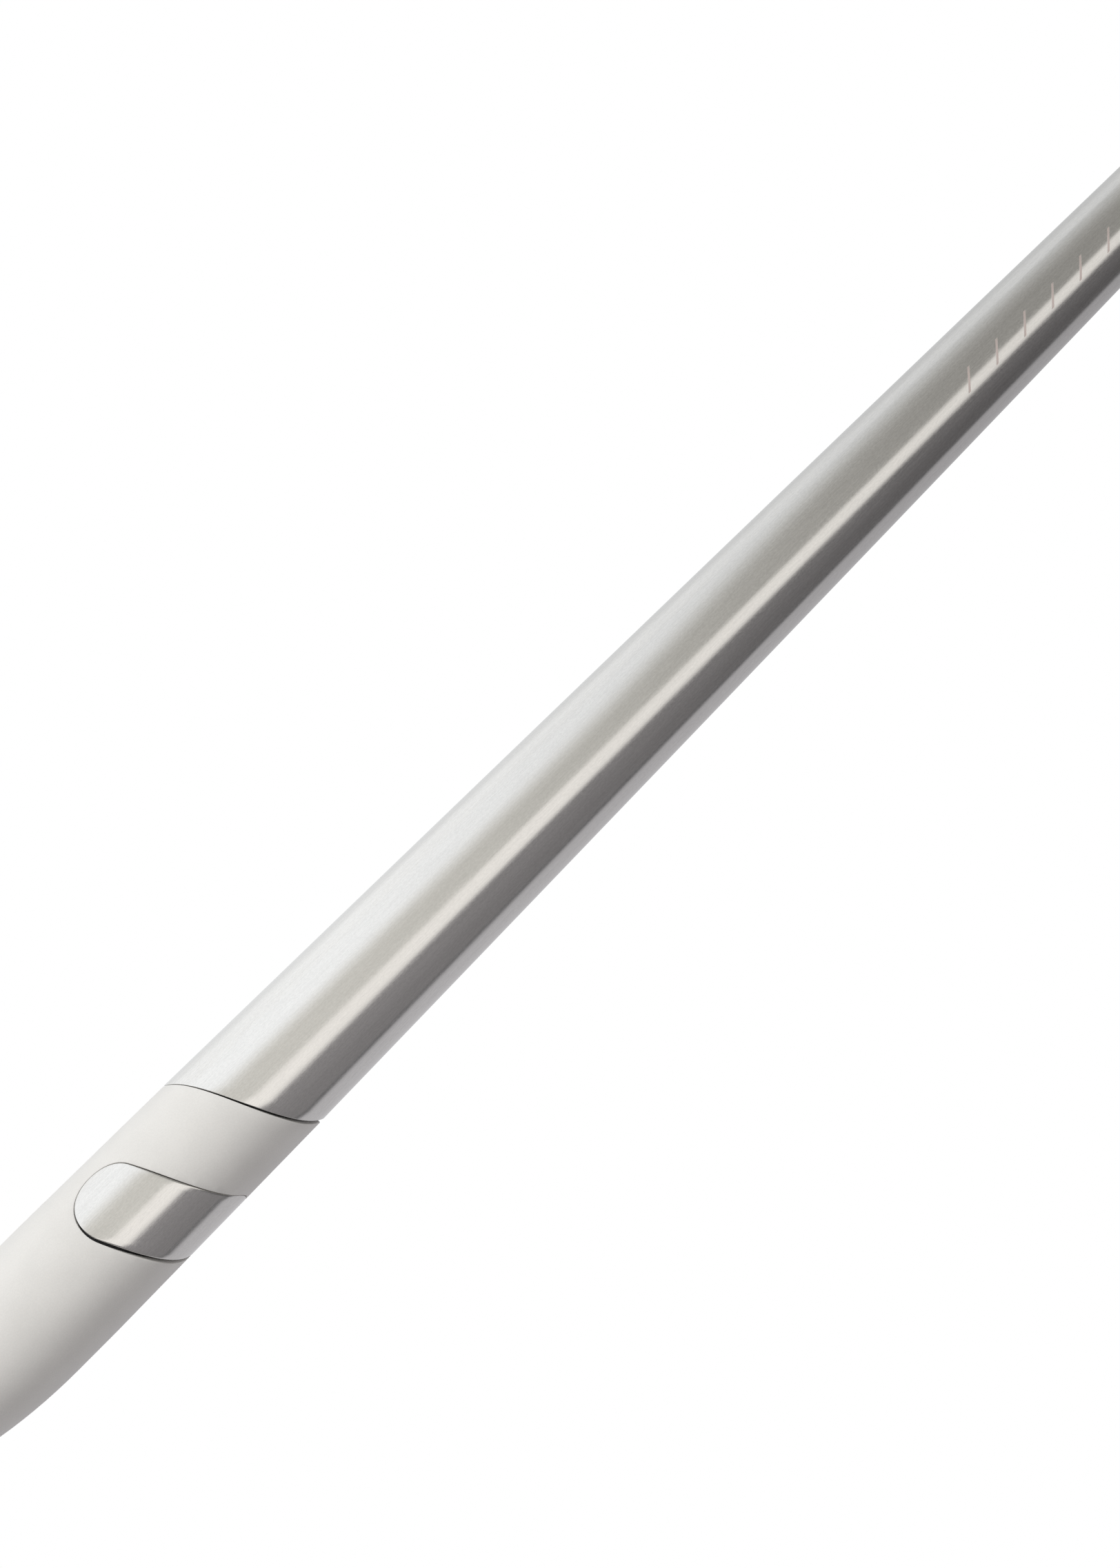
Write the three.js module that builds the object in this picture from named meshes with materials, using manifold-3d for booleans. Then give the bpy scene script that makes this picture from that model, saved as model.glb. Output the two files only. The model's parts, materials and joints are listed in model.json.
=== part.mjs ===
// A telescopic white cane with an electronic head, a thumb button and a rolling tip.
//
// Millimetres, +Z up. The cane lies along X, its head at -X and its tip at +X, and rests on its head
// and its roller. Stations run along the cane from the seam between the head and the handle tube,
// positive towards the tip. Angles round the cane are in radians, from +Z through -Y.

import * as THREE from 'three';
import { mergeVertices } from 'three/addons/utils/BufferGeometryUtils.js';
import Module from 'manifold-3d';

// ---- Driving dimensions -------------------------------------------------------------------------

const BODY_SIDES = 24;                  // facets round the head, handle tube and roller
const SHAFT_SIDES = 24;                 // facets round everything slimmer
const PIN_SIDES = 12;                   // facets round screws and small holes
const TOUCH_GAP = 0.3;                  // left between faces that touch
const FIT_GAP = 0.1;                    // left all round a sliding or running fit

const HANDLE = { radius: 13.0, taper: 0.0188, swell: 4.4e-6, wall: 0.8, end: 262 };
const MOUTH = { step: 248, end: 264, radius: 8.0 };
const SEAM = { reach: 8.3, sharpness: 0.985, gap: 0.35 };
const HEAD = {
  flare: 0.66, wall: 1.6, flareEnd: -47.5, barrelEnd: -58, topEnd: -80,
  apex: -105, apexRise: 4, cavityEnd: -88,
};
const BUTTON = {
  station: -28.4, slant: THREE.MathUtils.degToRad(24.9), halfWidth: 7.8, gap: 0.3, pitchRadius: 13.35,
  firstCap: THREE.MathUtils.degToRad(-19), lastCap: THREE.MathUtils.degToRad(79),
  underside: 12.1, press: THREE.MathUtils.degToRad(30), columns: 24,
};
const CARRIER = { inner: 10.3, flange: 11.3, boss: 11.9, overhang: 1.2, inset: 0.6 };
const SWITCH = { station: -25.15, bottom: 7.3, top: 8.6, size: 6, plunger: 1.6, plungerTop: 9.5 };
const BOARD = { length: 58, width: 13, thickness: 1.2, top: 7.0, station: -43 };
const BATTERY = { start: -78, end: -34, radius: 5.1, offset: 2.6 };
const MOTOR = { start: -30, end: -18, radius: 3, offset: 3.5 };
const BELOW_BOARD = THREE.MathUtils.degToRad(210);      // the side of the head away from the board
const INNER_FRAME = { inner: 8.2, outer: 9.2, start: -76, footStart: -0.5, footEnd: 2.5 };
const SLEEVE = { inner: 9.6, headFit: 11.2, tubeFit: 11.6, depth: 8, end: 20, bulkStart: 3, bulkEnd: 6 };
const FRAME_SCREW = { offset: 6, shank: 1.0, hole: 1.25, head: 1.9, headHeight: 1.2 };
const CHARGE_CONTACT = { stations: [-64, -72], radius: 1.8, hole: 2.0, flange: 2.6, face: 13.5 };
const EYELET = { station: -96.5, side: 3, inner: 3.0, outer: 3.6, hole: 3.8 };
const LINER = { inner: 6.7, outer: 7.3, start: 11, end: 230.5 };
const CENTRING = { stations: [28, 100, 170], length: 6, inner: 7.4 };
const NOSE_BUSH = { start: 231, bore: 6.7, mouthBore: 6.2 };
const BUMPER = { radius: 3.8, end: 10 };

const SECTIONS = [
  { name: 'upper', radius: 6.1, top: 233.5, mouth: 500.5 },
  { name: 'middle', radius: 4.9, top: 470, mouth: 740.5 },
  { name: 'lower', radius: 3.7, top: 710, end: 990 },
];
const SECTION_WALL = 0.6;
const SLIDE_BUSH_LENGTH = 14;
const END_PLUG_LENGTH = 8;
const COLLAR = { length: 12, proud: 1.2, lip: 0.7, chamfer: 0.4 };
const FRICTION_RING_LENGTH = 15;

const SOCKET = { start: 972, floor: 990.3, end: 996.5, radius: 5.2, shoulder: 7.2, neckEnd: 984, bossEnd: 998.7 };
const AXLE = { start: 988, headEnd: 990, head: 2.8, radius: 2.3, end: 1027 };
const BEARING = { starts: { upper: 999, lower: 1016 }, width: 5, bore: 2.6, inner: 3.6, cage: 3.9, outer: 6.4 };
const AXLE_WASHER = { start: 1021.3, end: 1022.1, radius: 4.5 };
const AXLE_NUT = { start: 1022.4, end: 1026, radius: 4.5 };
const ROLLER = {
  start: 997, end: 1031, crownStart: 1009, crownEnd: 1019, endRadius: 9.8,
  lip: 5.2, lipEnd: 998.7, bore: 6.55, capSeat: 9.3, capFloor: 1027.6,
};
const ROLLER_CAP = { radius: 9.0, floor: 1028, end: 1031.4, skirtStart: 1021.6, skirtInner: 5.6, skirtOuter: 6.3 };

// ---- The shapes that the dimensions describe ------------------------------------------------------

const steps = (count) => Array.from({ length: count + 1 }, (_, i) => i / count);
const quarterRound = (t) => Math.sqrt(Math.max(0, 1 - t * t));
const mix = (a, b, t) => a + (b - a) * t;

const headMaxRadius = HANDLE.radius + HEAD.flare;
const headRadius = (s) => HANDLE.radius + HEAD.flare * Math.min(1, s / HEAD.flareEnd);
const tubeRadius = (s) => HANDLE.radius - HANDLE.taper * s - HANDLE.swell * s * s;
const boreRadius = (s) => tubeRadius(s) - HANDLE.wall;

// The seam winds gently round the cane, reaching furthest towards the tip on the underside.
const seam = (phi) => SEAM.reach * Math.asin(SEAM.sharpness * Math.sin(phi)) / Math.asin(SEAM.sharpness);

// A section of the head: a barrel whose end sweeps into a beak, first underneath and then on top.
function headSection(s) {
  const top = s > HEAD.topEnd ? headRadius(s)
    : HEAD.apexRise + (headMaxRadius - HEAD.apexRise) * quarterRound((s - HEAD.topEnd) / (HEAD.apex - HEAD.topEnd));
  const under = s > HEAD.barrelEnd ? -headRadius(s)
    : HEAD.apexRise - (headMaxRadius + HEAD.apexRise)
      * quarterRound((s - HEAD.barrelEnd) / (HEAD.apex - HEAD.barrelEnd));
  return { centre: (top + under) / 2, radius: (top - under) / 2 };
}

// ---- Geometry helpers -----------------------------------------------------------------------------

function reshape(geometry, move) {
  const position = geometry.attributes.position;
  const point = new THREE.Vector3();
  for (let i = 0; i < position.count; i += 1) {
    move(point.fromBufferAttribute(position, i));
    position.setXYZ(i, point.x, point.y, point.z);
  }
  geometry.computeVertexNormals();
  return geometry;
}

// A solid turned about the cane's axis. The profile lists [station, radius], outer side towards the tip.
function turned(profile, sides = SHAFT_SIDES) {
  const points = profile.map(([station, radius]) => new THREE.Vector2(radius, station));
  return new THREE.LatheGeometry(points, sides, Math.PI / sides).rotateZ(-Math.PI / 2);
}

const rod = (start, end, radius, sides) => turned([[start, 0], [start, radius], [end, radius], [end, 0]], sides);

const ring = (start, end, inner, outer, sides) => turned(
  [[start, inner], [start, outer], [end, outer], [end, inner], [start, inner]], sides);

// Moves the rings between two stations along the cane so that they follow the seam.
const followSeam = (geometry, start, end, offset = 0) => reshape(geometry, (p) => {
  if (p.x > start && p.x < end) p.x += seam(Math.atan2(-p.y, p.z)) + offset;
});

// A post that stands out from the cane's axis, between two heights, at an angle and a station.
const post = (radius, low, high, phi, station, sides = PIN_SIDES) => new THREE.CylinderGeometry(
  radius, radius, high - low, sides).rotateX(Math.PI / 2).translate(station, 0, (low + high) / 2).rotateX(phi);

const block = (length, width, low, high, phi, station) => new THREE.BoxGeometry(
  length, width, high - low).translate(station, 0, (low + high) / 2).rotateX(phi);

// A solid wrapped round the axis, between two angles, two edges along the cane and two radii.
function wrapped({ from, to, low, high, inner, outer, columns }) {
  return reshape(new THREE.BoxGeometry(2, 2, 2, columns, 1, 1), (p) => {
    const phi = mix(from, to, 0.5 + 0.5 * Math.sin(p.x * Math.PI / 2));
    const s = p.y > 0 ? high(phi) : low(phi);
    const r = p.z > 0 ? outer(s) : inner(s);
    p.set(s, -r * Math.sin(phi), r * Math.cos(phi));
  });
}

// The button's round-ended outline, wrapped slantwise round the head, with an edge pushed out or in.
function buttonForm(grow, inner, outer) {
  const radius = BUTTON.halfWidth + grow;
  const first = BUTTON.firstCap * BUTTON.pitchRadius;
  const last = BUTTON.lastCap * BUTTON.pitchRadius;
  const tipInset = 0.02;
  const edge = (side) => (phi) => {
    const u = phi * BUTTON.pitchRadius;
    const nearest = THREE.MathUtils.clamp(u + side * radius * Math.sin(BUTTON.slant), first, last);
    const across = Math.sqrt(Math.max(0, radius ** 2 - (u - nearest) ** 2));
    return BUTTON.station + nearest * Math.tan(BUTTON.slant) + side * across;
  };
  return wrapped({
    from: (first - radius + tipInset) / BUTTON.pitchRadius,
    to: (last + radius - tipInset) / BUTTON.pitchRadius,
    low: edge(-1), high: edge(1), inner, outer, columns: BUTTON.columns,
  });
}

const wasm = await Module();
wasm.setup();

function solid(geometry) {
  const bare = geometry.clone();
  bare.deleteAttribute('normal');
  bare.deleteAttribute('uv');
  const merged = mergeVertices(bare, 1e-4);
  const corners = merged.index.array;
  const triangles = [];
  for (let i = 0; i < corners.length; i += 3) {
    const [a, b, c] = corners.slice(i, i + 3);
    if (a !== b && b !== c && c !== a) triangles.push(a, b, c);
  }
  return new wasm.Manifold(new wasm.Mesh({
    numProp: 3,
    vertProperties: new Float32Array(merged.attributes.position.array),
    triVerts: new Uint32Array(triangles),
  }));
}

function surface(manifold) {
  const mesh = manifold.getMesh();
  const geometry = new THREE.BufferGeometry();
  geometry.setAttribute('position', new THREE.BufferAttribute(new Float32Array(mesh.vertProperties), 3));
  geometry.setIndex(new THREE.BufferAttribute(new Uint32Array(mesh.triVerts), 1));
  geometry.computeVertexNormals();
  return geometry;
}

const cut = (geometry, ...tools) => surface(tools.reduce((kept, tool) => kept.subtract(solid(tool)), solid(geometry)));
const join = (geometry, ...others) => surface(others.reduce((whole, other) => whole.add(solid(other)), solid(geometry)));

// ---- Materials ------------------------------------------------------------------------------------

const finish = (color, roughness, metalness = 0) => new THREE.MeshStandardMaterial({ color, roughness, metalness });
const brushedAluminium = finish(0xb9b4ad, 0.35, 1);
const steel = finish(0x9a9da1, 0.3, 1);
const brass = finish(0xc9a45a, 0.3, 1);
const whitePlastic = finish(0xeceaec, 0.45);
const darkPlastic = finish(0x2b2c2f, 0.6);
const rubber = finish(0x1d1d1f, 0.85);
const boardGreen = finish(0x1f5a3a, 0.5);
const cellWrap = finish(0x2f4f8f, 0.45);
const whiteReflective = finish(0xf3f3f1, 0.3);
const redReflective = finish(0xc8202a, 0.3);
const whiteNylon = finish(0xe9e8e2, 0.55);

const cane = new THREE.Group();

function add(name, geometry, material) {
  const mesh = new THREE.Mesh(geometry, material);
  mesh.name = name;
  cane.add(mesh);
}

// ---- Head -----------------------------------------------------------------------------------------

const beakStations = steps(10).map((t) => mix(HEAD.barrelEnd, HEAD.apex, Math.sin((1 - t) * Math.PI / 2)));
const headStations = [...beakStations, HEAD.flareEnd, -30, -14, 0];
const outerHead = headStations.map((s) => [s, headSection(s).radius]);
const followBeak = (geometry) => reshape(geometry, (p) => { p.y += headSection(p.x).centre; });

function headCasing() {
  const cavityStations = [HEAD.cavityEnd, ...headStations.filter((s) => s > HEAD.cavityEnd)];
  const cavity = cavityStations.map((s) => [s, headSection(s).radius - HEAD.wall]).reverse();
  const casing = followBeak(turned([...outerHead, ...cavity, [HEAD.cavityEnd, 0]], BODY_SIDES));
  const insideAndOut = 30;
  const eyeletHole = post(EYELET.hole, -insideAndOut, insideAndOut, 0, EYELET.station, SHAFT_SIDES);
  return cut(
    followSeam(casing, -1, 1, -SEAM.gap / 2),
    buttonForm(BUTTON.gap, () => 9, () => 16),
    eyeletHole.translate(0, EYELET.side, 0),
    ...CHARGE_CONTACT.stations.map((s) => post(CHARGE_CONTACT.hole, 9, 16, -Math.PI / 2, s)),
  );
}

function strapEyelet() {
  const form = solid(followBeak(turned([...outerHead, [0, 0]], BODY_SIDES)));
  const reach = 15;
  const bush = (radius) => solid(post(radius, -reach, reach, 0, EYELET.station, SHAFT_SIDES)
    .translate(0, EYELET.side, 0));
  return surface(bush(EYELET.outer).intersect(form).subtract(bush(EYELET.inner)));
}

function neckSleeve() {
  const profile = [
    [SLEEVE.bulkStart, 0], [SLEEVE.bulkStart, SLEEVE.inner], [-SLEEVE.depth, SLEEVE.inner],
    [-SLEEVE.depth, SLEEVE.headFit], [0, SLEEVE.headFit], [0, SLEEVE.tubeFit],
    [SLEEVE.end, SLEEVE.tubeFit], [SLEEVE.end, SLEEVE.inner], [SLEEVE.bulkEnd, SLEEVE.inner], [SLEEVE.bulkEnd, 0],
  ];
  const shoulderClearance = 0.2;
  return cut(followSeam(turned(profile), -SLEEVE.depth - 1, 1, shoulderClearance), ...screwHoles());
}

const screwHoles = () => [-1, 1].map((side) => rod(
  INNER_FRAME.footStart - 1, SLEEVE.bulkEnd + 1, FRAME_SCREW.hole, PIN_SIDES).translate(0, side * FRAME_SCREW.offset, 0));

function innerFrame() {
  const spine = wrapped({
    from: THREE.MathUtils.degToRad(135), to: THREE.MathUtils.degToRad(285), columns: 10,
    low: () => INNER_FRAME.start, high: () => INNER_FRAME.footStart + 1,
    inner: () => INNER_FRAME.inner, outer: () => INNER_FRAME.outer,
  });
  const foot = rod(INNER_FRAME.footStart, INNER_FRAME.footEnd, INNER_FRAME.outer);
  return cut(join(spine, foot), ...screwHoles());
}

function frameScrew(side) {
  const start = INNER_FRAME.footStart + 1;
  const seat = SLEEVE.bulkEnd + TOUCH_GAP;
  return turned([
    [start, 0], [start, FRAME_SCREW.shank], [seat, FRAME_SCREW.shank], [seat, FRAME_SCREW.head],
    [seat + FRAME_SCREW.headHeight, FRAME_SCREW.head], [seat + FRAME_SCREW.headHeight, 0],
  ], PIN_SIDES).translate(0, side * FRAME_SCREW.offset, 0);
}

// Places a turned solid beside the cane's axis, away from the board.
const belowBoard = (geometry, offset) => geometry.translate(
  0, -offset * Math.sin(BELOW_BOARD), offset * Math.cos(BELOW_BOARD));

function batteryCell() {
  const nubHeight = 0.8;
  const nubRadius = 2;
  return belowBoard(turned([
    [BATTERY.start, 0], [BATTERY.start, BATTERY.radius], [BATTERY.end - nubHeight, BATTERY.radius],
    [BATTERY.end - nubHeight, nubRadius], [BATTERY.end, nubRadius], [BATTERY.end, 0],
  ]), BATTERY.offset);
}

function batteryContact(station, toward) {
  const plate = 0.6;
  const seat = station + toward * TOUCH_GAP;
  const far = seat + toward * plate;
  return belowBoard(rod(Math.min(seat, far), Math.max(seat, far), BATTERY.radius - 1), BATTERY.offset);
}

function vibrationMotor() {
  const bodyEnd = MOTOR.end - 4;
  const shaft = 0.6;
  const weight = 2.4;
  return belowBoard(turned([
    [MOTOR.start, 0], [MOTOR.start, MOTOR.radius], [bodyEnd, MOTOR.radius], [bodyEnd, shaft],
    [bodyEnd + 1, shaft], [bodyEnd + 1, weight], [MOTOR.end, weight], [MOTOR.end, 0],
  ]), MOTOR.offset);
}

function chargeContact(station) {
  const flangeTop = headMaxRadius - HEAD.wall - TOUCH_GAP * 2;
  const flangeBase = flangeTop - 0.7;
  return join(
    post(CHARGE_CONTACT.radius, flangeBase, CHARGE_CONTACT.face, -Math.PI / 2, station),
    post(CHARGE_CONTACT.flange, flangeBase, flangeTop, -Math.PI / 2, station),
  );
}

function buttonCarrier() {
  const nubRadius = 1.8;
  const nubBottom = SWITCH.plungerTop + TOUCH_GAP;
  return join(
    buttonForm(CARRIER.overhang, () => CARRIER.inner, () => CARRIER.flange),
    buttonForm(-CARRIER.inset, () => CARRIER.inner, () => CARRIER.boss),
    post(nubRadius, nubBottom, CARRIER.flange - 0.2, BUTTON.press, SWITCH.station),
  );
}

const controlBoard = () => block(
  BOARD.length, BOARD.width, BOARD.top - BOARD.thickness, BOARD.top, BUTTON.press, BOARD.station);
const switchBody = () => block(
  SWITCH.size, SWITCH.size, SWITCH.bottom, SWITCH.top, BUTTON.press, SWITCH.station);
const switchPlunger = () => post(
  SWITCH.plunger, SWITCH.top + TOUCH_GAP, SWITCH.plungerTop, BUTTON.press, SWITCH.station);

add('head_shell', headCasing(), whitePlastic);
add('thumb_button', buttonForm(0, () => BUTTON.underside, headRadius), brushedAluminium);
add('button_carrier', buttonCarrier(), darkPlastic);
add('switch_plunger', switchPlunger(), darkPlastic);
add('switch_body', switchBody(), steel);
add('control_board', controlBoard(), boardGreen);
add('battery_cell', batteryCell(), cellWrap);
add('battery_contact_front', batteryContact(BATTERY.end, 1), brass);
add('battery_contact_rear', batteryContact(BATTERY.start, -1), brass);
add('vibration_motor', vibrationMotor(), steel);
add('inner_frame', innerFrame(), darkPlastic);
add('neck_sleeve', neckSleeve(), darkPlastic);
add('frame_screw_1', frameScrew(-1), steel);
add('frame_screw_2', frameScrew(1), steel);
CHARGE_CONTACT.stations.forEach((s, i) => add(`charge_contact_${i + 1}`, chargeContact(s), brass));
add('strap_eyelet', strapEyelet(), steel);

// ---- Handle ---------------------------------------------------------------------------------------

function handleTube() {
  const stations = [0, 22, 60, 110, 160, 211, HANDLE.end];
  const outside = stations.map((s) => [s, tubeRadius(s)]);
  const inside = stations.map((s) => [s, boreRadius(s)]).reverse();
  return followSeam(turned([...outside, ...inside, outside[0]], BODY_SIDES), -1, 1, SEAM.gap / 2);
}

function centringRing(start) {
  const end = start + CENTRING.length;
  return turned([
    [start, CENTRING.inner], [start, boreRadius(start) - 2 * FIT_GAP], [end, boreRadius(end) - 2 * FIT_GAP],
    [end, CENTRING.inner], [start, CENTRING.inner],
  ]);
}

function noseBush() {
  return turned([
    [NOSE_BUSH.start, NOSE_BUSH.bore], [NOSE_BUSH.start, boreRadius(NOSE_BUSH.start) - FIT_GAP],
    [HANDLE.end, boreRadius(HANDLE.end) - FIT_GAP], [HANDLE.end, NOSE_BUSH.mouthBore],
    [MOUTH.step, NOSE_BUSH.mouthBore], [MOUTH.step, NOSE_BUSH.bore], [NOSE_BUSH.start, NOSE_BUSH.bore],
  ]);
}

const bumperSeat = SLEEVE.bulkEnd + TOUCH_GAP;

add('handle_tube', handleTube(), brushedAluminium);
add('guide_liner', ring(LINER.start, LINER.end, LINER.inner, LINER.outer), darkPlastic);
CENTRING.stations.forEach((s, i) => add(`centring_ring_${i + 1}`, centringRing(s), darkPlastic));
add('nose_bush', noseBush(), darkPlastic);
add('nose_ring', ring(HANDLE.end + TOUCH_GAP, MOUTH.end, NOSE_BUSH.mouthBore + FIT_GAP, MOUTH.radius), brushedAluminium);
add('stow_bumper', rod(bumperSeat, BUMPER.end, BUMPER.radius), rubber);

// ---- Telescopic shaft -----------------------------------------------------------------------------

const sectionBore = (section) => section.radius - SECTION_WALL;
const tubeEnd = (section) => section.end ?? section.mouth - 1;

// The slide bush rides over the top of its section, and the bush's outside is the bore that it slides in.
const slideBush = (section) => ring(section.top, section.top + SLIDE_BUSH_LENGTH,
  section.radius + FIT_GAP / 2, section.radius + SECTION_WALL - FIT_GAP);

const endPlug = (section) => rod(section.top, section.top + END_PLUG_LENGTH, sectionBore(section) - TOUCH_GAP);

// The collar closes the lower mouth of a section, with a lip that keeps the friction ring in.
function collar(section, next) {
  const start = section.mouth - COLLAR.length;
  const bore = section.radius + FIT_GAP;
  const outside = section.radius + COLLAR.proud;
  const lipStart = section.mouth - COLLAR.lip;
  const lipBore = next.radius + FIT_GAP;
  return turned([
    [start, bore], [start, outside - COLLAR.chamfer], [start + COLLAR.chamfer, outside],
    [section.mouth - COLLAR.chamfer, outside], [section.mouth, outside - COLLAR.chamfer],
    [section.mouth, lipBore], [lipStart, lipBore], [lipStart, bore], [start, bore],
  ]);
}

const frictionRing = (section, next) => ring(tubeEnd(section) - FRICTION_RING_LENGTH, tubeEnd(section),
  next.radius + FIT_GAP, sectionBore(section) - FIT_GAP);

SECTIONS.forEach((section, i) => {
  const next = SECTIONS[i + 1];
  const sleeving = next ? whiteReflective : redReflective;
  add(`${section.name}_tube`, ring(section.top, tubeEnd(section), sectionBore(section), section.radius), sleeving);
  add(`${section.name}_slide_bush`, slideBush(section), darkPlastic);
  add(`${section.name}_end_plug`, endPlug(section), darkPlastic);
  if (next) {
    add(`${section.name}_collar`, collar(section, next), brushedAluminium);
    add(`${section.name}_friction_ring`, frictionRing(section, next), darkPlastic);
  }
});

// ---- Rolling tip ----------------------------------------------------------------------------------

function tipSocket() {
  const bore = SECTIONS.at(-1).radius + FIT_GAP;
  const axleHole = AXLE.radius + 2 * FIT_GAP;
  return turned([
    [SOCKET.start, bore], [SOCKET.start, SOCKET.radius - COLLAR.chamfer],
    [SOCKET.start + COLLAR.chamfer, SOCKET.radius], [SOCKET.neckEnd, SOCKET.radius],
    [SOCKET.floor, SOCKET.shoulder], [SOCKET.end, SOCKET.shoulder], [SOCKET.end, BEARING.inner],
    [SOCKET.bossEnd, BEARING.inner], [SOCKET.bossEnd, axleHole], [SOCKET.floor, axleHole],
    [SOCKET.floor, bore], [SOCKET.start, bore],
  ]);
}

const tipAxle = () => turned([
  [AXLE.start, 0], [AXLE.start, AXLE.head], [AXLE.headEnd, AXLE.head],
  [AXLE.headEnd, AXLE.radius], [AXLE.end, AXLE.radius], [AXLE.end, 0],
]);

function tipRoller() {
  const roundIn = steps(4).map((t) => [
    mix(ROLLER.crownStart, ROLLER.start, Math.cos(t * Math.PI / 2)),
    mix(ROLLER.endRadius, headMaxRadius, Math.sin(t * Math.PI / 2)),
  ]);
  const roundOut = steps(4).map((t) => [
    mix(ROLLER.crownEnd, ROLLER.end, Math.sin(t * Math.PI / 2)),
    mix(ROLLER.endRadius, headMaxRadius, Math.cos(t * Math.PI / 2)),
  ]);
  return turned([
    [ROLLER.start, ROLLER.lip], ...roundIn, ...roundOut, [ROLLER.end, ROLLER.capSeat],
    [ROLLER.capFloor, ROLLER.capSeat], [ROLLER.capFloor, ROLLER.bore], [ROLLER.lipEnd, ROLLER.bore],
    [ROLLER.lipEnd, ROLLER.lip], [ROLLER.start, ROLLER.lip],
  ], BODY_SIDES);
}

const rollerCap = () => turned([
  [ROLLER_CAP.floor, 0], [ROLLER_CAP.floor, ROLLER_CAP.skirtInner], [ROLLER_CAP.skirtStart, ROLLER_CAP.skirtInner],
  [ROLLER_CAP.skirtStart, ROLLER_CAP.skirtOuter], [ROLLER_CAP.floor, ROLLER_CAP.skirtOuter],
  [ROLLER_CAP.floor, ROLLER_CAP.radius], [ROLLER_CAP.end, ROLLER_CAP.radius], [ROLLER_CAP.end, 0],
]);

const axleNut = () => cut(
  rod(AXLE_NUT.start, AXLE_NUT.end, AXLE_NUT.radius, 6),
  rod(AXLE_NUT.start - 1, AXLE_NUT.end + 1, BEARING.bore),
);

add('tip_socket', tipSocket(), darkPlastic);
add('tip_axle', tipAxle(), steel);
for (const [place, start] of Object.entries(BEARING.starts)) {
  add(`bearing_${place}_inner`, ring(start, start + BEARING.width, BEARING.bore, BEARING.inner), steel);
  add(`bearing_${place}_outer`, ring(start, start + BEARING.width, BEARING.cage, BEARING.outer), steel);
}
add('bearing_spacer', ring(
  BEARING.starts.upper + BEARING.width + TOUCH_GAP, BEARING.starts.lower - TOUCH_GAP, BEARING.bore, BEARING.inner), steel);
add('axle_washer', ring(AXLE_WASHER.start, AXLE_WASHER.end, BEARING.bore, AXLE_WASHER.radius), steel);
add('axle_nut', axleNut(), steel);
add('tip_roller', tipRoller(), whiteNylon);
add('roller_cap', rollerCap(), whiteNylon);

// The origin is under the middle of the cane, on the surface that it lies on.
cane.position.set(-(HEAD.apex + ROLLER_CAP.end) / 2, 0, headMaxRadius * Math.cos(Math.PI / BODY_SIDES));

export default cane;
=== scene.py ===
"""The finished look of a telescopic white cane, built round its frame and laid out as an add-on.

The cane lies along X with its head at -X and its near side at -Y. Stations run along it from the
seam between the white head and the handle tube, positive towards the tip. Angles round it run from
+Z through -Y.
"""
import json
import math

import bmesh
import bpy
from bpy.props import FloatProperty, FloatVectorProperty, IntProperty, PointerProperty
from mathutils import Matrix, Vector

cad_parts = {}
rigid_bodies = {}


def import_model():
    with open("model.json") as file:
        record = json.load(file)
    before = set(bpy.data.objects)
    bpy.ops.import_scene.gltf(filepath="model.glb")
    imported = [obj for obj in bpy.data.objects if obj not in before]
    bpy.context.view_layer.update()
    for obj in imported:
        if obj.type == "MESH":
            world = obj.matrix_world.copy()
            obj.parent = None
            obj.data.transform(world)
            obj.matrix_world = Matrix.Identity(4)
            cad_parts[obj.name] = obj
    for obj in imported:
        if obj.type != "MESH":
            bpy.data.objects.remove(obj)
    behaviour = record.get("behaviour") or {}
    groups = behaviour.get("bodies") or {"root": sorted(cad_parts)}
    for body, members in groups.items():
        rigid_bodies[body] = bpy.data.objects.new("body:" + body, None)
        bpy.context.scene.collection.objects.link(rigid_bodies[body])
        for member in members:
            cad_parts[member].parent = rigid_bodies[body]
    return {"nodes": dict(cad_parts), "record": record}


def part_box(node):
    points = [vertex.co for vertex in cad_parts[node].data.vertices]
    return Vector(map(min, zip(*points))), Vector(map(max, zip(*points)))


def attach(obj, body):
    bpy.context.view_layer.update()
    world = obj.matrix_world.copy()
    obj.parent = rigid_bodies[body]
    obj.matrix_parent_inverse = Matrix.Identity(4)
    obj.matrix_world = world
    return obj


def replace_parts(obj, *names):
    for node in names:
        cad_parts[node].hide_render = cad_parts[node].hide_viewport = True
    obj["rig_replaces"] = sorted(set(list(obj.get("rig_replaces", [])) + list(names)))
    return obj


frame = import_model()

for startup in {"Cube", "Light", "Camera"} & set(bpy.data.objects.keys()):
    bpy.data.objects.remove(bpy.data.objects[startup])
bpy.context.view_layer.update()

bl_info = {
    "name": "White Cane",
    "version": (1, 0, 0),
    "blender": (4, 5, 0),
    "location": "View3D > Sidebar > White Cane",
    "description": "Builds the visible pieces of a telescopic white cane round its frame",
    "category": "Add Mesh",
}

MM = 0.001
FAR_SIDE = -math.pi / 2                 # the angle of the cane's far side
ALONG_X = (0, math.pi / 2, 0)           # lays a new ring or cylinder along the cane
HEAD_REACH = 105 * MM                   # from the seam back to the beak's end
SHAFT_FACETS = 24                       # facets round the frame's slim round pieces
AXIS_Z = (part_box("upper_tube")[0].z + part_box("upper_tube")[1].z) / 2
SEAM_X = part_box("head_shell")[0].x + HEAD_REACH


def half_width(node):
    """Half of what a piece of the frame measures across."""
    low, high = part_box(node)
    return (high.y - low.y) / 2


def frame_radius(node):
    """The true radius of a round piece of the frame, whose flats face the axes."""
    return half_width(node) / math.cos(math.pi / SHAFT_FACETS)


def frame_stations(node):
    """Where a piece of the frame starts and ends along the cane."""
    low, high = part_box(node)
    return low.x - SEAM_X, high.x - SEAM_X


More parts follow.
